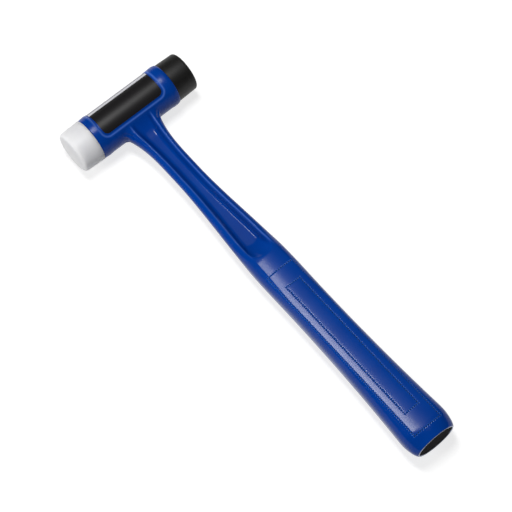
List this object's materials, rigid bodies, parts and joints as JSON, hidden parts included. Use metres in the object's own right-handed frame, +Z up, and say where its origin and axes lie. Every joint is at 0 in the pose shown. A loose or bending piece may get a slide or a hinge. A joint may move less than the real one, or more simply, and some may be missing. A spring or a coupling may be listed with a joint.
{
  "type": "soft face hammer",
  "caption": "Die-cast hammer with a round barrel, a recessed neck and an oval grip, and a screw-in nylon and a screw-in polyurethane striking face for tapping parts without marking them.",
  "frame": {"origin": "under the middle of the hammer, on the surface that it lies on", "axes": "+X along the handle to the tail, +Y along the barrel to the soft face, +Z up, out of the label"},
  "size_m": [0.2658, 0.08, 0.0256],
  "materials": {
    "blue_coat": "gloss enamel over an aluminium die casting",
    "label": "glossy printed film",
    "nylon": "satin, slightly translucent",
    "stud_steel": "zinc plated thread",
    "polyurethane": "satin moulded polyurethane",
    "plug": "matte moulded plastic"
  },
  "bodies": {
    "hammer": {"hammer_body": "blue_coat", "front_label": "label", "end_plug": "plug"},
    "nylon_screw": {"nylon_stud": "stud_steel"},
    "nylon_tip": {"nylon_face": "nylon"},
    "soft_screw": {"soft_stud": "stud_steel"},
    "soft_tip": {"soft_face": "polyurethane"}
  },
  "joints": [
    {"name": "nylon_travel", "type": "slide", "parent": "hammer", "child": "nylon_screw", "axis": [0, -1, 0], "range_m": [0, 0.01125]},
    {"name": "nylon_turn", "type": "hinge", "parent": "nylon_screw", "child": "nylon_tip", "pos_m": [-0.1201, 0.0001, 0.0128], "axis": [0, -1, 0], "range_deg": [0, 2700]},
    {"name": "soft_travel", "type": "slide", "parent": "hammer", "child": "soft_screw", "axis": [0, 1, 0], "range_m": [0, 0.01125]},
    {"name": "soft_turn", "type": "hinge", "parent": "soft_screw", "child": "soft_tip", "pos_m": [-0.1201, 0.0001, 0.0128], "axis": [0, 1, 0], "range_deg": [0, 2700]}
  ],
  "couplings": [
    {"joint": "nylon_travel", "follows": "nylon_turn", "m_per_rad": 0.00023873},
    {"joint": "soft_travel", "follows": "soft_turn", "m_per_rad": 0.00023873}
  ]
}
